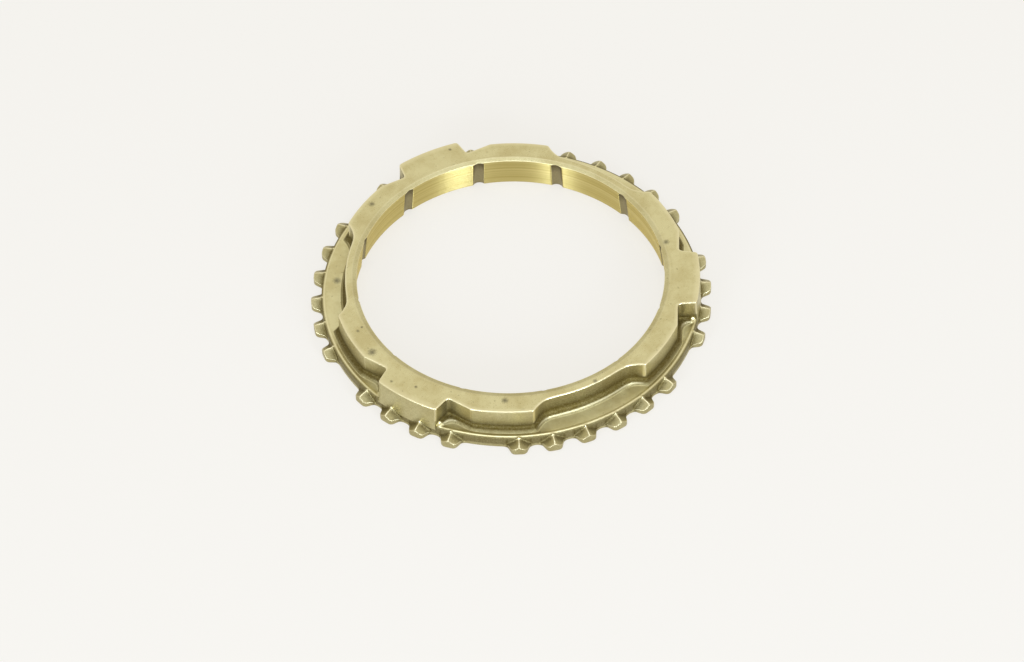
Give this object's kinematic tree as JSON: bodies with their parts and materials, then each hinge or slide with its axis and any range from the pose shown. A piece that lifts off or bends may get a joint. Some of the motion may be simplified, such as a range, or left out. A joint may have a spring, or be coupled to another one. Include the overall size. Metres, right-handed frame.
{
  "type": "synchronizer ring",
  "caption": "One-piece brass synchronizer ring: conical bore with axial oil grooves, roof-pointed locking teeth around a thin flange, and three square lugs on a stepped hub wall.",
  "frame": {"origin": "on the ring's axis, in the plane of its gear-side face", "axes": "+Z along the ring's axis from the gear side to the hub side; +Y through the middle of one of the three lugs"},
  "size_m": [0.1198, 0.1198, 0.0114],
  "materials": {
    "forged_brass": "as-forged satin brass, with a bright turned cone and worn bright edges"
  },
  "bodies": {
    "root": {"synchronizer_ring": "forged_brass"}
  },
  "joints": []
}
